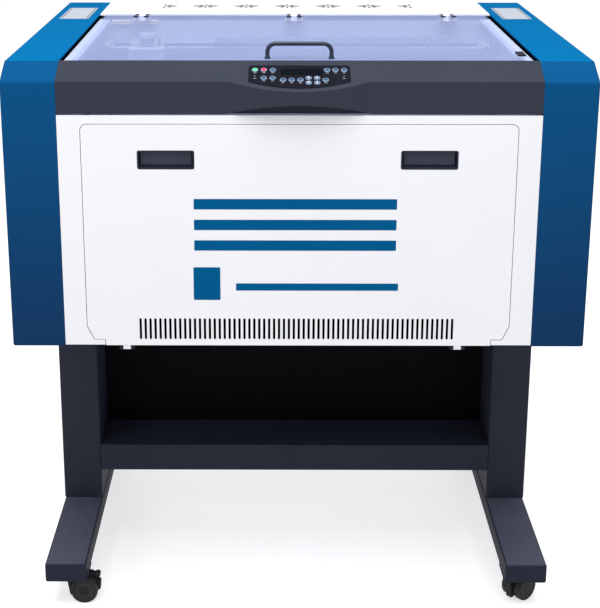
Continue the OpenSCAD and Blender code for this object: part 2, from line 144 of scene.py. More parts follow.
def facing(x, y, z):
    way = Vector((x, y, z)).normalized()
    return lambda face: face.normal.dot(way) > 0.99


def running(x, y, z):
    """Edges that run along a direction."""
    way = Vector((x, y, z)).normalized()
    return lambda edge: abs((edge.verts[0].co - edge.verts[1].co).normalized().dot(way)) > 0.99


def middle(edge):
    return (edge.verts[0].co + edge.verts[1].co) * 500


def round_edges(piece, test, size, steps=3):
    edit(piece, "EDGE", test)
    bpy.ops.mesh.bevel(offset=size / 1000, segments=steps, affect="EDGES", clamp_overlap=True)
    clear()


def slice_off(piece, point, outward):
    """Cuts away all that lies beyond a plane, and closes the cut."""
    edit(piece, "FACE", lambda face: True)
    bpy.ops.mesh.bisect(plane_co=metres(point), plane_no=outward, use_fill=True,
                        clear_outer=True, clear_inner=False)
    clear()


def push(distance):
    bpy.ops.mesh.extrude_region_move(TRANSFORM_OT_translate={"value": metres(distance)})


def sink(piece, test, rim, depth):
    """Insets a face and pushes it in along a direction."""
    edit(piece, "FACE", test)
    bpy.ops.mesh.inset(thickness=rim / 1000)
    push(depth)
    clear()


def modify(piece, kind, **settings):
    take(piece)
    modifier = piece.modifiers.new(kind.lower(), kind)
    for key, value in settings.items():
        setattr(modifier, key, value)
    bpy.ops.object.modifier_apply(modifier=modifier.name)


def soften(piece, size, steps=2, angle=40):
    modify(piece, "BEVEL", width=size / 1000, segments=steps, limit_method="ANGLE",
           angle_limit=radians(angle), use_clamp_overlap=True)


def combine(piece, tool, operation):
    modify(piece, "BOOLEAN", operation=operation, object=tool, solver="EXACT")
    bpy.data.objects.remove(tool)


def row(piece, count, step):
    modify(piece, "ARRAY", count=count, use_relative_offset=False, use_constant_offset=True,
           constant_offset_displace=metres(step))


def copy(piece, name, place):
    """A copy with its own mesh, moved by a matrix in metres."""
    made = piece.copy()
    made.data = piece.data.copy()
    made.name = name
    made.data.name = name
    bpy.context.scene.collection.objects.link(made)
    made.data.transform(place)
    if place.determinant() < 0:
        made.data.flip_normals()
    return made


def move(x, y, z):
    return Matrix.Translation(metres((x, y, z)))


def mirrored(piece, name):
    return copy(piece, name, Matrix.Scale(-1, 4, (1, 0, 0)))


def join(pieces, name):
    clear()
    for piece in pieces:
        piece.select_set(True)
    bpy.context.view_layer.objects.active = pieces[0]
    bpy.ops.object.join()
    pieces[0].name = name
    return pieces[0]


def done(piece, body, finishes, stands_for=()):
    """Shades the piece, gives it its finish, and fixes it to its body."""
    take(piece)
    bpy.ops.object.shade_smooth_by_angle(angle=radians(35))
    modify(piece, "WEIGHTED_NORMAL", weight=100, keep_sharp=True)
    if not piece.data.materials:
        for finish in finishes if isinstance(finishes, list) else [finishes]:
            piece.data.materials.append(finish)
    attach(piece, body)
    if stands_for:
        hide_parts(*stands_for)
    return piece


def coat_nodes(finish, *names):
    """Gives carried-over solids their finish."""
    for name in names:
        solid = nodes[name]
        if not solid.material_slots:
            solid.data.materials.append(finish)
        for holder in solid.material_slots:
            holder.material = finish


# ---- finishes ----

class Value:
    """A node's output that can be used in sums."""

    def __init__(self, finish, socket):
        self.finish = finish
        self.socket = socket

    def math(self, operation, first, second):
        return self.finish.node("ShaderNodeMath", {"operation": operation}, {0: first, 1: second})

    def __add__(self, other):
        return self.math("ADD", self, other)

    __radd__ = __add__

    def __mul__(self, other):
        return self.math("MULTIPLY", self, other)

    def __sub__(self, other):
        return self.math("SUBTRACT", self, other)

    def __rsub__(self, other):
        return self.math("SUBTRACT", other, self)

    def __pow__(self, other):
        return self.math("POWER", self, other)


class Finish:
    """A surface finish, built up node by node on one shader."""

    def __init__(self, name, **constants):
        self.material = bpy.data.materials.new(name)
        self.material.use_nodes = True
        self.tree = self.material.node_tree
        self.shader = self.tree.nodes["Principled BSDF"]
        for key, value in constants.items():
            self.shader.inputs[SOCKETS[key]].default_value = value

    def node(self, kind, settings=None, inputs=None, output=0):
        made = self.tree.nodes.new(kind)
        for key, value in (settings or {}).items():
            if key == "stops":
                for index, (place, colour) in enumerate(value):
                    if index > 1:
                        made.color_ramp.elements.new(place)
                    made.color_ramp.elements[index].position = place
                    made.color_ramp.elements[index].color = colour
            else:
                setattr(made, key, value)
        for key, value in (inputs or {}).items():
            if isinstance(value, Value):
                self.tree.links.new(value.socket, made.inputs[key])
            else:
                made.inputs[key].default_value = value
        return Value(self, made.outputs[output])

    def place(self, stretch=(1, 1, 1), turn=(0, 0, 0)):
        here = self.node("ShaderNodeTexCoord", output="Object")
        return self.node("ShaderNodeMapping", {},
                         {"Vector": here, "Scale": stretch, "Rotation": turn})

    def noise(self, scale, detail=2.0, stretch=(1, 1, 1)):
        return self.node("ShaderNodeTexNoise", {},
                         {"Vector": self.place(stretch), "Scale": scale, "Detail": detail})

    def axis(self, name):
        return self.node("ShaderNodeSeparateXYZ", {}, {0: self.place()}, output=name)

    def upward_mask_for_painted_light(self):
        """1 where the surface faces up, 0 where it faces sideways or down: the mask that paints
        light onto upward faces.
        """
        normal = self.node("ShaderNodeNewGeometry", output="Normal")
        rise = self.node("ShaderNodeSeparateXYZ", {}, {0: normal}, output="Z")
        return self.between(rise, 0.93, 0.99)

    def between(self, value, low, high):
        """0 below low, 1 above high, and straight in between."""
        return self.node("ShaderNodeMapRange", {}, {0: value, 1: low, 2: high})

    def mix(self, mask, first, second):
        return self.node("ShaderNodeMix", {"data_type": "RGBA"},
                         {0: mask, 6: first, 7: second}, output=2)

    def paint(self, socket, value):
        self.tree.links.new(value.socket, self.shader.inputs[SOCKETS[socket]])

    def relief(self, height, depth, strength=1.0):
        bump = self.node("ShaderNodeBump", {},
                         {"Height": height, "Distance": depth, "Strength": strength})
        self.paint("normal", bump)


SOCKETS = {"colour": "Base Color", "roughness": "Roughness", "metallic": "Metallic",
           "specular": "Specular IOR Level", "alpha": "Alpha", "normal": "Normal",
           "glow": "Emission Color", "glow_strength": "Emission Strength", "ior": "IOR"}


def shade(colour, factor):
    return tuple(part * factor for part in colour[:3]) + (1,)


def powder_coat(name, colour, roughness=0.42, peel=0.00012, specular=0.12, patch=0.06,
                ior=1.5):
    """Baked powder: a fine orange peel, and a faint unevenness over the panel."""
    finish = Finish(name, specular=specular, ior=ior)
    cloud = finish.noise(7, 3)
    finish.paint("colour", finish.mix(cloud, shade(colour, 1 - patch), shade(colour, 1 + patch)))
    finish.paint("roughness", roughness + (finish.noise(55, 2) - 0.5) * 0.12)
    finish.relief(finish.noise(900, 2) + finish.noise(260, 1) * 0.6, peel)
    return finish.material


def moulded(name, colour, roughness=0.5, grain=0.00008, specular=0.12, scale=2400):
    """Moulded plastic: a tight leathery grain with slightly worn, paler high spots."""
    finish = Finish(name, specular=specular)
    pits = finish.node("ShaderNodeTexVoronoi", {}, {"Vector": finish.place(), "Scale": scale})
    cloud = finish.noise(30, 4)
    finish.paint("colour", finish.mix(cloud, shade(colour, 0.85), shade(colour, 1.2)))
    finish.paint("roughness", roughness + (cloud - 0.5) * 0.2)
    finish.relief(pits, grain)
    return finish.material


def brushed(name, colour, stretch, roughness=0.32, depth=0.00004):
    """Bare metal with a brushed or drawn grain along one direction."""
    finish = Finish(name, metallic=1.0)
    lines = finish.noise(450, 3, stretch)
    smear = finish.noise(9, 3)
    finish.paint("colour", finish.mix(lines, shade(colour, 0.86), shade(colour, 1.08)))
    finish.paint("roughness", roughness + (lines - 0.5) * 0.16 + (smear - 0.5) * 0.12)
    finish.relief(lines, depth)
    return finish.material


def cover_blue():
    """The side covers' blue with painted light: upward faces are painted a lighter blue, and painted
    shade darkens the sides towards the floor.
    """
    finish = Finish("cover blue powder coat", specular=0.002, ior=1.12)
    # Painted shade: the sides' blue darkens from the top of the covers down towards the floor.
    height = finish.between(finish.axis("Z"), 0.56, 0.97)
    cloud = finish.noise(6, 3)
    low = finish.mix(cloud, (0.0050, 0.024, 0.071, 1), (0.0064, 0.027, 0.080, 1))
    high = finish.mix(cloud, (0.0026, 0.049, 0.138, 1), (0.0036, 0.054, 0.150, 1))
    side = finish.mix(height, low, high)
    # Painted light: upward faces get a lighter blue than the sides.
    painted_lit_top = finish.mix(cloud, (0.0004, 0.088, 0.225, 1), (0.0008, 0.096, 0.245, 1))
    finish.paint("colour", finish.mix(finish.upward_mask_for_painted_light(), side, painted_lit_top))
    finish.paint("roughness", 0.36 + (finish.noise(60, 2) - 0.5) * 0.1)
    finish.relief(finish.noise(950, 2) + finish.noise(280, 1) * 0.6, 0.00012)
    return finish.material


def scuffed_coat_with_painted_lit_top():
    """The feet's charcoal coat with streaky scuffs, and painted light making the upward faces paler.
    """
    finish = Finish("foot charcoal coat", specular=0.10, ior=1.15)
    scuffs = finish.noise(35, 6, (3, 1, 1))
    side = finish.mix(scuffs, (0.015, 0.0165, 0.027, 1), (0.019, 0.021, 0.033, 1))
    # Painted light: upward faces get a paler charcoal than the sides.
    painted_lit_top = finish.mix(scuffs, (0.054, 0.058, 0.085, 1), (0.073, 0.078, 0.110, 1))
    finish.paint("colour", finish.mix(finish.upward_mask_for_painted_light(), side, painted_lit_top))
    finish.paint("roughness", 0.36 + scuffs * 0.14)
    finish.relief(finish.noise(900, 2), 0.00012)
    return finish.material


def window_acrylic():
    """Blue-tinted acrylic with a smoky haze and wiping marks."""
    finish = Finish("window acrylic", specular=0.2, alpha=0.32)
    haze = finish.noise(3.2, 4, (1, 1.6, 1))
    wipes = finish.noise(26, 5, (1, 5, 1))
    finish.paint("colour", finish.mix(haze, (0.25, 0.34, 0.68, 1), (0.36, 0.45, 0.82, 1)))
    finish.paint("roughness", 0.08 + wipes * 0.14)
    finish.relief(wipes, 0.00002)
    return finish.material


def membrane():
    """Printed keypad film: near black with a soft sheen and fine texture."""
    finish = Finish("keypad film", specular=0.012)
    grain = finish.noise(3000, 2)
    finish.paint("colour", finish.mix(finish.noise(40, 3), (0.0055, 0.0055, 0.009, 1),
                                      (0.009, 0.009, 0.015, 1)))
    finish.paint("roughness", 0.38 + (grain - 0.5) * 0.15)
    finish.relief(grain, 0.00003)
    return finish.material


def glossy(name, colour, roughness=0.18, specular=0.15):
    """Hard shiny plastic with faint scuffs."""
    finish = Finish(name, specular=specular)
    scuffs = finish.noise(160, 5, (1, 3, 1))
    finish.paint("colour", finish.mix(scuffs, shade(colour, 0.9), shade(colour, 1.08)))
    finish.paint("roughness", roughness + scuffs * 0.14)
    finish.relief(scuffs, 0.00001)
    return finish.material


def screw_thread():
    """Ground steel with a fine square thread."""
    finish = Finish("threaded steel", metallic=1.0)
    wave = finish.node("ShaderNodeTexWave", {"bands_direction": "Z"},
                       {"Vector": finish.place(), "Scale": 31.8})
    finish.paint("colour", finish.mix(wave, (0.28, 0.28, 0.29, 1), (0.68, 0.69, 0.7, 1)))
    finish.paint("roughness", 0.28 + (1 - wave) * 0.2)
    finish.relief(wave, 0.0012)
    return finish.material


def rubber():
    """Tyre rubber with dust in its grain."""
    finish = Finish("tyre rubber", specular=0.25)
    dust = finish.noise(90, 5)
    finish.paint("colour", finish.mix(dust ** 2.0, (0.008, 0.008, 0.009, 1),
                                      (0.035, 0.034, 0.034, 1)))
    finish.paint("roughness", 0.62 + dust * 0.2)
    finish.relief(finish.noise(1500, 3), 0.0001)
    return finish.material


def galvanised():
    """Zinc sheet with its crystal patches."""
    finish = Finish("galvanised duct", metallic=0.9)
    spangle = finish.node("ShaderNodeTexVoronoi", {}, {"Vector": finish.place(), "Scale": 120},
                          output="Color")
    tone = finish.node("ShaderNodeSeparateColor", {}, {0: spangle})
    finish.paint("colour", finish.mix(tone, (0.42, 0.44, 0.46, 1), (0.66, 0.68, 0.7, 1)))
    finish.paint("roughness", 0.34 + tone * 0.16)
    finish.relief(finish.noise(500, 2), 0.00003)
    return finish.material


def floor_paint():
    finish = Finish("studio floor", specular=0.05, glow=(1, 1, 1, 1), glow_strength=0.6)
    cloud = finish.noise(0.8, 2)
    finish.paint("colour", finish.mix(cloud, (0.58, 0.58, 0.59, 1), (0.61, 0.61, 0.62, 1)))
    finish.paint("roughness", 0.8 + cloud * 0.1)
    return finish.material


BLUE = cover_blue()
WHITE = powder_coat("case white powder coat", (0.575, 0.58, 0.605), 0.45, patch=0.02)
INSIDE = powder_coat("inner panel coat", (0.42, 0.47, 0.58), 0.5)
FASCIA_DARK = powder_coat("control panel coat", (0.0235, 0.027, 0.040), 0.4, 0.00008, 0.04)
STAND = powder_coat("stand charcoal coat", (0.022, 0.024, 0.036), 0.4, 0.00012, 0.08, 0.1, 1.15)
FOOT = scuffed_coat_with_painted_lit_top()
# Painted shade: the shelf's back panel has the stand's coat, made far darker to stand for the shade
# under the body.
SHELF_PAINTED_SHADE = powder_coat("shelf back painted shade", (0.003, 0.003, 0.004), 0.6, 0.00012, 0.02, 0.1)
HANDLE = powder_coat("handle slate coat", (0.011, 0.018, 0.036), 0.28, 0.00006, 0.3)
ZINC = powder_coat("electronics case coat", (0.38, 0.4, 0.43), 0.4)
FILM = membrane()
PRINT = powder_coat("blue print", (0.0005, 0.064, 0.168), 0.35, 0.00002, 0.01, 0.02)
CREAM = glossy("cream reflector", (0.75, 0.68, 0.45), 0.3)
LABEL = powder_coat("blank label film", (0.30, 0.34, 0.39), 0.3, 0.00002, 0.1)
DARK = moulded("cup plastic", (0.012, 0.014, 0.028), 0.45)
CHAIN = moulded("cable chain plastic", (0.20, 0.22, 0.28), 0.45)
PADDLE = moulded("paddle plastic", (0.03, 0.036, 0.055), 0.4)
BLACK = moulded("black plastic", (0.011, 0.011, 0.013), 0.5)
SCREEN = moulded("screen plastic", (0.001, 0.001, 0.0015), 0.7, specular=0.01)
SOCKET = moulded("socket plastic", (0.014, 0.014, 0.015), 0.35)
HEAD_SILVER = powder_coat("head casting coat", (0.36, 0.38, 0.42), 0.3)
GREEN = glossy("green key", (0.06, 0.38, 0.16))
RED = glossy("red key", (0.42, 0.018, 0.05))
RING = glossy("pale key rim", (0.22, 0.30, 0.42))
KEY_BLUE = glossy("blue key", (0.018, 0.055, 0.11))
ARROW_WHITE = glossy("white arrows", (0.6, 0.64, 0.72))
MARKS = glossy("printed marks", (0.25, 0.28, 0.34), 0.35, 0.1)
LCD = glossy("display glass", (0.003, 0.004, 0.007), 0.06, 0.01)
SWITCH = glossy("red rocker", (0.45, 0.012, 0.012))
WINDOW = window_acrylic()
ALUMINIUM = brushed("extruded aluminium", (0.72, 0.73, 0.76), (0.03, 1, 1))
TURNED = brushed("turned aluminium", (0.7, 0.71, 0.73), (1, 1, 14), 0.26)
FOIL = brushed("honeycomb foil", (0.55, 0.56, 0.58), (1, 1, 0.2), 0.4)
STEEL = brushed("ground steel", (0.6, 0.61, 0.63), (1, 0.03, 1), 0.24)
BRASS = brushed("brass", (0.72, 0.5, 0.2), (1, 1, 12), 0.25)
THREAD = screw_thread()
TYRE = rubber()
DUCT = galvanised()
FLOOR = floor_paint()


# ---- small parts that repeat ----

def screw_heads(name, spots, outward, radius, body, finish):
    """Domed screw heads with a hex socket, one at each spot, facing outward."""
    head = rod("head", radius, (0, 0, 0), (0, 0, radius * 0.55), 24)
    edit(head, "FACE", facing(0, 0, 1))
    bpy.ops.mesh.bevel(offset=radius * 0.00028, segments=3, affect="EDGES")
    clear()
    bore = rod("bore", radius * 0.45, (0, 0, radius * 0.25), (0, 0, radius), 6)
    combine(head, bore, "DIFFERENCE")
    turn = Vector(outward).to_track_quat("Z", "Y").to_matrix().to_4x4()
    copies = [copy(head, name, move(*spot) @ turn) for spot in spots]
    bpy.data.objects.remove(head)
    return done(join(copies, name), body, finish)


# ---- casings ----

def slope_cut(piece):
    slice_off(piece, (0, FRONT, CREASE), (0, -sin(SLOPE), cos(SLOPE)))


def make_side_covers():
    cover = block("right_cover_shell", (INNER, FRONT, BOTTOM), (OUTER, BACK, TOP))
    slope_cut(cover)
    round_edges(cover, lambda edge: middle(edge).x > INNER + 1, 3.5, 4)
    edit(cover, "FACE", facing(-1, 0, 0))
    bpy.ops.mesh.delete(type="FACE")
    modify(cover, "SOLIDIFY", thickness=0.0028, offset=-1)
    done(mirrored(cover, "left_cover_shell"), "root", BLUE, ["left_side_cover"])
    done(cover, "root", BLUE, ["right_side_cover"])
    label = block("right_blank_label", (393, 140, TOP - 0.05), (448, 302, TOP + 0.15))
    round_edges(label, running(0, 0, 1), 4, 4)
    border = block("border", (396, 143, TOP), (445, 299, TOP + 1))
    window = block("window", (397.5, 144.5, TOP - 1), (443.5, 297.5, TOP + 2))
    combine(border, window, "DIFFERENCE")
    combine(label, border, "DIFFERENCE")
    done(mirrored(label, "left_blank_label"), "root", LABEL)
    done(label, "root", LABEL)


def make_fascia():
    panel = block("fascia_shell", (-INNER + 0.2, FRONT, FASCIA), (INNER - 0.2, FRONT + 74, TOP))
    bow = rod("bow", 250.5, (0, FRONT - 24 + 250.5, FASCIA), (0, FRONT - 24 + 250.5, TOP), 240)
    slice_off(bow, (0, FRONT + 4, 0), (0, 1, 0))
    slice_off(bow, (107, 0, 0), (1, 0, 0))
    slice_off(bow, (-107, 0, 0), (-1, 0, 0))
    combine(panel, bow, "UNION")
    slope_cut(panel)
    shelf = block("rebate", (-400, FRONT + 52.3, TOP - 5.6), (400, FRONT + 80, TOP + 5))
    combine(panel, shelf, "DIFFERENCE")
    hollow = block("hollow", (-400, FRONT + 9, FASCIA - 5), (400, FRONT + 80, TOP - 8.6))
    slice_off(hollow, (0, FRONT + 9, CREASE - 5), Vector((0, -21, 36)).normalized())
    combine(panel, hollow, "DIFFERENCE")
    arch = 367.1
    scoop = rod("scoop", arch, (0, FRONT - 30, FASCIA + 17.5 - arch),
                (0, FRONT + 5.5, FASCIA + 17.5 - arch), 360)
    combine(panel, scoop, "DIFFERENCE")
    soften(panel, 1.4, 3, 20)
    done(panel, "root", FASCIA_DARK, ["control_fascia"])


def make_door():
    door = block("door_skin", (-341, FRONT, 546), (341, FRONT + 18, 911.5))
    round_edges(door, lambda edge: running(0, 1, 0)(edge) and middle(edge).z > 900, 10, 6)
    for side in (-1, 1):
        low, high = sorted((side * 312, side * 350))
        step = block("step", (low, -400, 540), (high, -370, 556.5))
        combine(door, step, "DIFFERENCE")
        slice_off(door, (side * 341, 0, 579.5), Vector((side * 23, 0, -11)).normalized())
    sink(door, lambda face: face.normal.y > 0.99, 3, (0, -15.5, 0))
    pull = block("pull", (-44.95, -400, 839.8), (44.95, -370, 870.2))
    round_edges(pull, running(0, 1, 0), 3, 4)
    for place in (-208.8, 204.3):
        combine(door, copy(pull, "pull", move(place, 0, 0)), "DIFFERENCE")
    bpy.data.objects.remove(pull)
    slot = block("slot", (-256.8, -400, 556), (-252.8, -385, 592.5))
    round_edges(slot, running(0, 1, 0), 1.99, 4)
    row(slot, 64, (8, 0, 0))
    combine(door, slot, "DIFFERENCE")
    soften(door, 0.9, 2, 50)
    lugs = [door]
    for place in (-278, 259):
        lugs.append(rod("lug", 3, (place - 6, -391, 541), (place + 6, -391, 541), 24))
        foot = block("foot", (place - 6, -394, 541), (place + 6, -388, 547))
        soften(foot, 0.4)
        lugs.append(foot)
    done(join(lugs, "door_skin"), "door", WHITE, ["door_panel"])


def make_door_stripes():
    stripes = []
    for low, high, z, tall in ((-166, 155, 775, 17), (-166, 155, 741, 17), (-166, 155, 707, 17),
                               (-100, 160, 640, 12), (-168, -125, 624, 55)):
        stripe = block("stripe", (low, FRONT - 0.2, z), (high, FRONT + 0.3, z + tall))
        round_edges(stripe, running(0, 1, 0), 1.2, 3)
        stripes.append(stripe)
    done(join(stripes, "door_stripes"), "door", PRINT)


def make_vent_screen():
    """A dark backing behind the door's slots."""
    screen = block("vent_screen", (-259, FRONT + 2.6, 553), (259, FRONT + 3.8, 596))
    round_edges(screen, running(0, 1, 0), 4, 4)
    done(screen, "door", SCREEN)


def make_pull_cups():
    cup = block("cup", (-44.75, -395.4, 840), (44.75, -379, 870))
    round_edges(cup, running(0, 1, 0), 2.8, 5)
    sink(cup, facing(0, -1, 0), 2.4, (0, 13.6, 0))
    edit(cup, "VERT", lambda v: -0.3818 < v.co.y < -0.3816 and v.co.z < 0.8478)
    bpy.ops.transform.translate(value=(0, 0, 0.0028))
    soften(cup, 0.5, 2, 30)
    for name, place in (("left_cup", -208.8), ("right_cup", 204.3)):
        stands = ["door_pull_cups"] if place < 0 else []
        done(copy(cup, name, move(place, 0, 0)), "door", DARK, stands)
    bpy.data.objects.remove(cup)


# ---- keypad ----

KEYS = [("key_go", -68.9, 30.6, GREEN), ("key_stop", -55.2, 30.6, RED),
        ("key_reset", -41.2, 30.6, KEY_BLUE), ("key_speed", 43.2, 30.2, KEY_BLUE),
        ("key_power", 56.1, 30.2, KEY_BLUE), ("key_focus", 69.5, 30.2, KEY_BLUE),
        ("key_pointer", -55.2, 9, KEY_BLUE), ("key_job", -41.6, 9, KEY_BLUE),
        ("key_menu", -25.4, 3.7, KEY_BLUE), ("key_mode", -12, 3.7, KEY_BLUE),
        ("key_jog", 1.5, 3.7, KEY_BLUE), ("key_enter", 40.4, 3.7, KEY_BLUE),
        ("key_left", 14.1, 9, KEY_BLUE), ("key_up", 27.2, 9, KEY_BLUE),
        ("key_right", 14.1, -3.5, KEY_BLUE), ("key_down", 27.2, -3.5, KEY_BLUE)]
KEY_SLOTS = {"key_go": "key_green", "key_stop": "key_red", "key_left": "key_white",
             "key_up": "key_white", "key_right": "key_white", "key_down": "key_white"}


def on_slope(x, y, z):
    """Places a shape on the sloping control panel: across it, up it, and out of it."""
    return move(0, FRONT, CREASE) @ Matrix.Rotation(SLOPE, 4, "X") @ move(x, y, z)


def make_keys():
    key = rod("key", 4.75, (0, 0, 0), (0, 0, 2.9), 40)
    round_edges(key, lambda edge: middle(edge).z > 2.8, 0.4, 3)
    key.data.materials.append(RING)
    key.data.materials.append(KEY_BLUE)
    edit(key, "FACE", lambda face: facing(0, 0, 1)(face) and face.calc_area() > 1e-5)
    bpy.ops.mesh.inset(thickness=0.0004)
    key.active_material_index = 1
    bpy.ops.object.material_slot_assign()
    bpy.ops.mesh.inset(thickness=0.0009)
    bpy.ops.transform.translate(value=(0, 0, 0.0003))
    bpy.ops.mesh.inset(thickness=0.001)
    bpy.ops.transform.translate(value=(0, 0, 0.00015))
    clear()
    for name, x, y, finish in KEYS:
        cap = copy(key, name + "_cap", on_slope(x, y, -1.1))
        cap.data.materials[1] = finish
        done(cap, name, finish, [name])
    bpy.data.objects.remove(key)
    arrow = rod("arrow", 2.5, (0, 0, 0), (0, 0, 0.12), 3)
    soften(arrow, 0.05, 1)
    for name, x, y, turn in (("left", 14.1, 9, 90), ("up", 27.2, 9, 0),
                             ("right", 14.1, -3.5, -90), ("down", 27.2, -3.5, 180)):
        place = on_slope(x, y, 2.24) @ Matrix.Rotation(radians(turn), 4, "Z")
        done(copy(arrow, name + "_arrow", place), "key_" + name, ARROW_WHITE)
    bpy.data.objects.remove(arrow)


def make_keypad_marks():
    """Printed dashes by the keys and small dots by the indicator lamps."""
    dash = block("dash", (-2.4, -0.5, 0), (2.4, 0.5, 0.12))
    round_edges(dash, running(0, 0, 1), 0.4, 2)
    dot = rod("dot", 0.9, (0, 0, 0), (0, 0, 0.2), 16)
    soften(dot, 0.1)
    marks = [copy(dash, "mark", on_slope(x, 8, 1.0)) for x in (-69, 69)]
    marks += [copy(dot, "mark", on_slope(x, 14, 1.0)) for x in (-69, 69)]
    for name, x, y, finish in KEYS:
        if KEY_SLOTS.get(name) != "key_white":
            marks.append(copy(dash, "mark", on_slope(x, y - 7.6, 1.0)))
    bpy.data.objects.remove(dash)
    bpy.data.objects.remove(dot)
    done(join(marks, "keypad_marks"), "root", MARKS)
    bezel = block("display_bezel", (-33.6, -9.4, 0), (33.6, 9.4, 0.35))
    window = block("hole", (-32, -7.8, -1), (32, 7.8, 1))
    combine(bezel, window, "DIFFERENCE")
    soften(bezel, 0.15)
    place = on_slope(3.5, 24.6, 1.0)
    done(copy(bezel, "display_frame", place), "root", FILM)
    bpy.data.objects.remove(bezel)


# ---- lid ----

def make_lid():
    sheet = block("window_sheet", (-366, LID_FRONT, 998), (366, LID_REAR, TOP))
    for place in HINGES:
        notch = block("notch", (place - 15, 197.3, 990), (place + 15, 203, 1010))
        round_edges(notch, running(0, 0, 1), 1.5, 3)
        combine(sheet, notch, "DIFFERENCE")
    soften(sheet, 0.9, 2)
    done(sheet, "lid", WINDOW, ["lid_window"])
    spots = [(place + side * 10, 168, TOP) for place in HINGES for side in (-1, 1)]
    screw_heads("hinge_screws", spots, (0, 0, 1), 4.5, "lid", BLACK)
    magnet = block("lid_magnet", (350, -302, TOP), (363, -268, TOP + 3))
    soften(magnet, 0.8)
    sink(magnet, facing(0, 0, 1), 3, (0, 0, -1))
    done(magnet, "lid", BLACK)
    seal = block("lid_seal", (-364, -336, 996.6), (364, -328, 997.9))
    soften(seal, 0.4)
    done(seal, "lid", BLACK)


def make_handle():
    """A round bar: flared foot, bend, cross piece, bend and the other foot."""
    half, bend, rise, middle_x, y = 50.7, 13, 10.6, 0.8, -323.5
    clear()
    bpy.ops.mesh.primitive_circle_add(vertices=28, radius=0.005, fill_type="NGON",
                                      location=metres((middle_x - half, y, TOP)))
    bar = settle("handle_bar")
    edit(bar, "FACE", lambda face: True)
    push((0, 0, 1))
    push((0, 0, 3))
    foot = metres((middle_x - half, y, TOP + 4))
    bpy.ops.transform.resize(value=(0.68, 0.68, 1), center_override=foot)
    push((0, 0, rise - 4))
    bpy.ops.mesh.spin(steps=8, angle=radians(-90), axis=(0, 1, 0),
                      center=metres((middle_x - half + bend, y, TOP + rise)))
    push((2 * (half - bend), 0, 0))
    bpy.ops.mesh.spin(steps=8, angle=radians(-90), axis=(0, 1, 0),
                      center=metres((middle_x + half - bend, y, TOP + rise)))
    push((0, 0, 4 - rise))
    push((0, 0, -3))
    foot = metres((middle_x + half, y, TOP + 1))
    bpy.ops.transform.resize(value=(1 / 0.68, 1 / 0.68, 1), center_override=foot)
    push((0, 0, -1))
    bpy.ops.mesh.select_all(action="SELECT")
    bpy.ops.mesh.remove_doubles(threshold=0.00001)
    bpy.ops.mesh.normals_make_consistent(inside=False)
    clear()
    done(bar, "lid", HANDLE, ["lid_handle"])


# ---- motion system ----

def make_gantry():
    rail = block("beam_rail", (-338, 25.6, 947), (338, 30.8, 953))
    soften(rail, 0.7)
    done(rail, "gantry", STEEL)
    belt = block("beam_belt", (-335, 58.5, 965.3), (335, 68.5, 966.9))
    tooth = block("tooth", (-334, 58.5, 966.8), (-331, 68.5, 967.8))
    soften(tooth, 0.4)
    row(tooth, 112, (6, 0, 0))
    done(join([belt, tooth], "beam_belt"), "gantry", BLACK)
    link = block("link", (-150, 57.5, 970.1), (-141, 69.5, 981))
    soften(link, 1.6, 3)
    sink(link, facing(0, 0, 1), 2, (0, 0, -1.5))
    row(link, 46, (10, 0, 0))
    tray = block("tray", (-155, 57, 969), (322, 70, 970))
    soften(tray, 0.3)
    done(join([link, tray], "cable_chain"), "gantry", CHAIN)
    posts = block("chain_bracket", (-150, 68.9, 965.2), (-138, 70, 969.1))
    row(posts, 5, (114, 0, 0))
    soften(posts, 0.2)
    done(posts, "gantry", ALUMINIUM)
    for side, name in ((-1, "left"), (1, "right")):
        spots = [(side * 350, 18, 971), (side * 350, 72, 971)]
        screw_heads(name + "_plate_screws", spots, (0, 0, 1), 3.5, "gantry", STEEL)


def make_laser_head():
    x, y = HEAD_X, BEAM_Y
    base = block("head_carriage", (x - 32, y - 62, 925), (x + 32, y - 20.3, 972))
    soften(base, 3, 3)
    sink(base, facing(0, 0, 1), 4, (0, 0, -1.5))
    slots = block("fin", (x - 26, y - 64, 934), (x + 26, y - 60, 936.5))
    row(slots, 7, (0, 0, 5))
    combine(base, slots, "DIFFERENCE")
    done(base, "head", HEAD_SILVER, ["laser_head"])
    deck = block("head_bridge", (x - 30, y - 40, 970), (x + 30, y + 10, 977.8))
    soften(deck, 1.2, 2)
    done(deck, "head", ALUMINIUM)
    spots = [(x + a, y + b, 977.8) for a in (-24, 24) for b in (-34, 4)]
    screw_heads("head_screws", spots, (0, 0, 1), 3, "head", STEEL)
    tube = rod("lens_tube", 16, (x, y - 42, 917), (x, y - 42, 926), 48)
    round_edges(tube, lambda edge: middle(edge).z < 917.5, 1, 2)
    collar = rod("knurl", 13, (x, y - 42, 977), (x, y - 42, 988), 36)
    edit(collar, "FACE", lambda face: abs(face.normal.z) < 0.1)
    bpy.ops.mesh.inset(thickness=0.0003, use_individual=True, depth=-0.0006)
    clear()
    sink(collar, facing(0, 0, 1), 4, (0, 0, -3))
    done(join([tube, collar], "lens_tube"), "head", TURNED)
    clear()
    bpy.ops.mesh.primitive_cone_add(vertices=40, radius1=0.006, radius2=0.015, depth=0.012,
                                    location=metres((x, y - 42, 911)))
    cone = settle("nozzle")
    sink(cone, facing(0, 0, -1), 2.6, (0, 0, 8))
    done(cone, "head", BRASS)
    mirror = block("mirror_box", (x - 14, y - 30, 977.8), (x + 14, y - 4, 992))
    slice_off(mirror, (x - 4, y - 30, 992), Vector((-1, -1, 0.6)).normalized())
    soften(mirror, 1.2)
    done(mirror, "head", ALUMINIUM)
    hose = rod("air_fitting", 3, (x + 22, y - 40, 972), (x + 22, y - 40, 985), 24)
    edit(hose, "FACE", facing(0, 0, 1))
    bpy.ops.mesh.inset(thickness=0.001)
    push((0, 0, 4))
    clear()
    soften(hose, 0.3)
    done(hose, "head", BRASS)


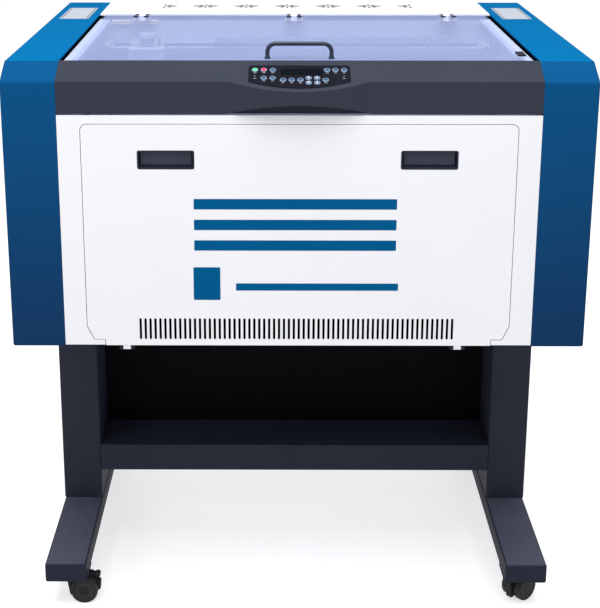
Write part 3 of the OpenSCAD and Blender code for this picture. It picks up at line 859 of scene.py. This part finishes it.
def make_honeycomb():
    """Foil cells, each carrying the walls on one side of its middle, set in a narrow rim."""
    clear()
    bpy.ops.mesh.primitive_circle_add(vertices=6, radius=0.007, location=metres((-308, -303, 788.2)))
    cell = settle("cell")
    edit(cell, "EDGE", lambda edge: True)
    push((0, 0, 11.6))
    clear()
    edit(cell, "FACE", lambda face: face.calc_center_median().x > -0.3075)
    bpy.ops.mesh.delete(type="FACE")
    clear()
    modify(cell, "SOLIDIFY", thickness=0.0003, offset=0)
    step_x = 7 * 3 ** 0.5
    row(cell, 50, (step_x, 0, 0))
    second = copy(cell, "cells", move(step_x / 2, 10.5, 0))
    cell = join([cell, second], "cells")
    row(cell, 23, (0, 21, 0))
    rim = block("rim", (-316.4, -310.4, 788), (316.4, 180.4, GRID_TOP))
    gap = block("gap", (-311, -306, 780), (311, 176, 810))
    combine(rim, gap, "DIFFERENCE")
    soften(rim, 0.6)
    done(join([cell, rim], "honeycomb_panel"), "table", FOIL,
         ["honeycomb_grid"])


# ---- stand ----

def make_stand():
    leg = block("right_leg_tube", (LEG_INNER, LEG_FRONT, 93.2), (LEG_OUTER, LEG_REAR, BOTTOM))
    round_edges(leg, running(0, 0, 1), 4, 4)
    done(mirrored(leg, "left_leg_tube"), "root", STAND)
    done(leg, "root", STAND, ["stand_legs"])
    tube = block("right_foot_tube", (374.1, -297, FOOT_LOW), (447.5, 352.5, FOOT_TOP))
    round_edges(tube, running(0, 1, 0), 3.5, 4)
    cap = block("cap", (374.5, -300.5, 58.3), (447.1, -297.3, 92.7))
    round_edges(cap, running(0, 1, 0), 3.2, 4)
    round_edges(cap, lambda edge: middle(edge).y < -300.4, 2, 3)
    rear = copy(cap, "cap", move(0, 55.5, 0) @ Matrix.Scale(-1, 4, (0, 1, 0)))
    foot = join([tube, cap, rear], "right_foot_tube")
    plate = block("plate", (-24, -28, 55.5), (24, 28, 57.8))
    round_edges(plate, running(0, 0, 1), 4, 4)
    pin = rod("pin", 5, (0, 0, 45), (0, 0, 55.4), 32)
    parts = [foot]
    for corner in ("front_right", "rear_right"):
        spot = Vector(joints["swivel_" + corner]["pos_m"]) * 1000
        for bit in (plate, pin):
            parts.append(copy(bit, "bit", move(spot.x, spot.y, 0)))
    for bit in (plate, pin):
        bpy.data.objects.remove(bit)
    foot = join(parts, "right_foot_tube")
    done(mirrored(foot, "left_foot_tube"), "root", FOOT)
    done(foot, "root", FOOT, ["stand_feet"])
    lip = block("shelf_lip", (-LEG_INNER, LEG_FRONT, SHELF_LOW), (LEG_INNER, -34, SHELF_TOP))
    tray = block("tray", (-375, -33.9, 202), (375, 84.7, SHELF_TOP))
    wall = block("shelf_back", (-LEG_INNER, 85, SHELF_LOW), (LEG_INNER, 88, BOTTOM))
    for part in (lip, tray, wall):
        soften(part, 0.9, 3)
    done(join([lip, tray], "shelf_tray"), "root", STAND, ["storage_shelf"])
    # The back panel gets the painted-shade coat.
    done(wall, "root", SHELF_PAINTED_SHADE)
    spots = [(side * 366, 30 + dy, SHELF_TOP) for side in (-1, 1) for dy in (-30, 30)]
    screw_heads("shelf_bolts", spots, (0, 0, 1), 4.5, "root", BLACK)


def make_wheels():
    """Twin wheels with a rounded tread, a dished side and a hub boss."""
    tyre = rod("tyre", 24.5, (0, 0, 6.3), (0, 0, 21), 64)
    round_edges(tyre, lambda edge: not running(0, 0, 1)(edge), 3, 4)
    disc = rod("disc", 20.2, (0, 0, 12), (0, 0, 21.4), 64)
    sink(disc, facing(0, 0, 1), 1.6, (0, 0, -1.6))
    edit(disc, "FACE", lambda face: facing(0, 0, 1)(face) and face.calc_area() > 5e-4)
    bpy.ops.mesh.inset(thickness=0.0095)
    push((0, 0, 1.6))
    clear()
    soften(disc, 0.4)
    axle = rod("axle", 4, (0, 0, -6.5), (0, 0, 6.5), 24)
    flip = Matrix.Rotation(pi, 4, "X")
    other_tyre = copy(tyre, "tyre", flip)
    other_disc = copy(disc, "disc", flip)
    tyres = join([tyre, other_tyre], "tyres")
    hubs = join([disc, other_disc, axle], "hubs")
    for corner in ("front_left", "front_right", "rear_left", "rear_right"):
        joint = joints["roll_" + corner]
        turn = Vector(joint["axis"]).to_track_quat("Z", "Y").to_matrix().to_4x4()
        place = Matrix.Translation(Vector(joint["pos_m"])) @ turn
        done(copy(tyres, corner + "_tyres", place), "wheel_" + corner, TYRE,
             ["caster_wheel_" + corner])
        done(copy(hubs, corner + "_hubs", place), "wheel_" + corner, BLACK)
    bpy.data.objects.remove(tyres)
    bpy.data.objects.remove(hubs)


# ---- rear ----

def make_lamp_strip():
    """A cream reflector at the back left corner of the work chamber."""
    strip = block("lamp_strip", (-354, 197, 984), (-266, 203.8, 993))
    soften(strip, 1.5, 3)
    sink(strip, facing(0, -1, 0), 1.5, (0, 1.5, 0))
    done(strip, "root", CREAM)


def make_rear():
    spots = [(x, BACK, z) for x in (-368, 0, 368) for z in (556, 990)]
    spots += [(x, BACK, 780) for x in (-368, 368)]
    screw_heads("rear_screws", spots, (0, 1, 0), 4, "root", STEEL)
    ring = 58
    spots = [(-250 + ring * cos(a), BACK + 2, 640 + ring * sin(a))
             for a in [radians(45 + 90 * n) for n in range(4)]]
    screw_heads("collar_screws", spots, (0, 1, 0), 2.8, "root", STEEL)
    pins = []
    for dx, dz in ((-5, 0), (5, 0), (0, 5)):
        pin = block("pin", (274 + dx - 0.9, 383, 600 + dz - 2), (274 + dx + 0.9, 394, 600 + dz + 2))
        soften(pin, 0.4)
        pins.append(pin)
    done(join(pins, "inlet_pins"), "root", STEEL)


def make_deck_vents():
    """Dark mesh strips in the radial slots of the rear deck."""
    strip = block("strip", (7.4, -2.2, 1000.3), (26.6, 2.2, 1003.1))
    round_edges(strip, running(0, 0, 1), 1.9, 3)
    strips = []
    for place in range(-3, 4):
        for step in range(12):
            turn = 30 * step
            if (place == -3 and 90 < turn < 270) or (place == 3 and (turn < 90 or turn > 270)):
                continue
            around = Matrix.Rotation(radians(turn), 4, "Z")
            strips.append(copy(strip, "strip", move(-14 + 82.5 * place, FRONT + 726, 0) @ around))
    bpy.data.objects.remove(strip)
    done(join(strips, "deck_vent_mesh"), "root", BLACK)


def finish_solids():
    coat_nodes(WHITE, "front_frame", "rear_panel", "rear_deck")
    coat_nodes(INSIDE, "chassis_tub")
    coat_nodes(FILM, "keypad_plate")
    coat_nodes(LCD, "display_window")
    coat_nodes(PADDLE, "left_latch", "right_latch")
    coat_nodes(ALUMINIUM, "gantry_beam", "table_frame", "laser_tube")
    coat_nodes(STEEL, "y_rails", "lid_hinge_leaves")
    coat_nodes(BLACK, "hinge_bases", "caster_fork_front_left", "caster_fork_front_right",
               "caster_fork_rear_left", "caster_fork_rear_right",
               "caster_brake_front_left", "caster_brake_front_right")
    coat_nodes(THREAD, "lead_screw_1", "lead_screw_2", "lead_screw_3")
    coat_nodes(DUCT, "exhaust_collar")
    coat_nodes(SOCKET, "power_inlet")
    coat_nodes(SWITCH, "power_switch")
    coat_nodes(ZINC, "electronics_box")


# ---- studio ----

def soft_light(place, aim, size, power):
    place = Vector(place)
    turn = (Vector(aim) - place).to_track_quat("-Z", "Y").to_euler()
    bpy.ops.object.light_add(type="AREA", location=place, rotation=turn)
    light = bpy.context.object.data
    light.shape = "SQUARE"
    light.size = size
    light.energy = power


def make_studio():
    clear()
    bpy.ops.mesh.primitive_plane_add(size=80, location=(0, 4, 0))
    floor = settle("studio_floor")
    floor.data.materials.append(FLOOR)
    world = bpy.data.worlds.new("studio white")
    world.use_nodes = True
    world.node_tree.nodes["Background"].inputs["Color"].default_value = (1, 1, 1, 1)
    world.node_tree.nodes["Background"].inputs["Strength"].default_value = 0.68
    bpy.context.scene.world = world
    bpy.context.scene.view_settings.view_transform = "Standard"
    soft_light((0, -0.9, 3.0), (0, -0.2, 0.6), 2.4, 115)
    soft_light((-2.2, -2.6, 2.2), (0, 0, 0.7), 1.2, 18)


set_camera()
make_side_covers()
make_fascia()
make_door()
make_door_stripes()
make_vent_screen()
make_pull_cups()
make_keys()
make_keypad_marks()
make_lid()
make_handle()
make_lamp_strip()
make_gantry()
make_laser_head()
make_honeycomb()
make_stand()
make_wheels()
make_rear()
make_deck_vents()
finish_solids()
make_studio()
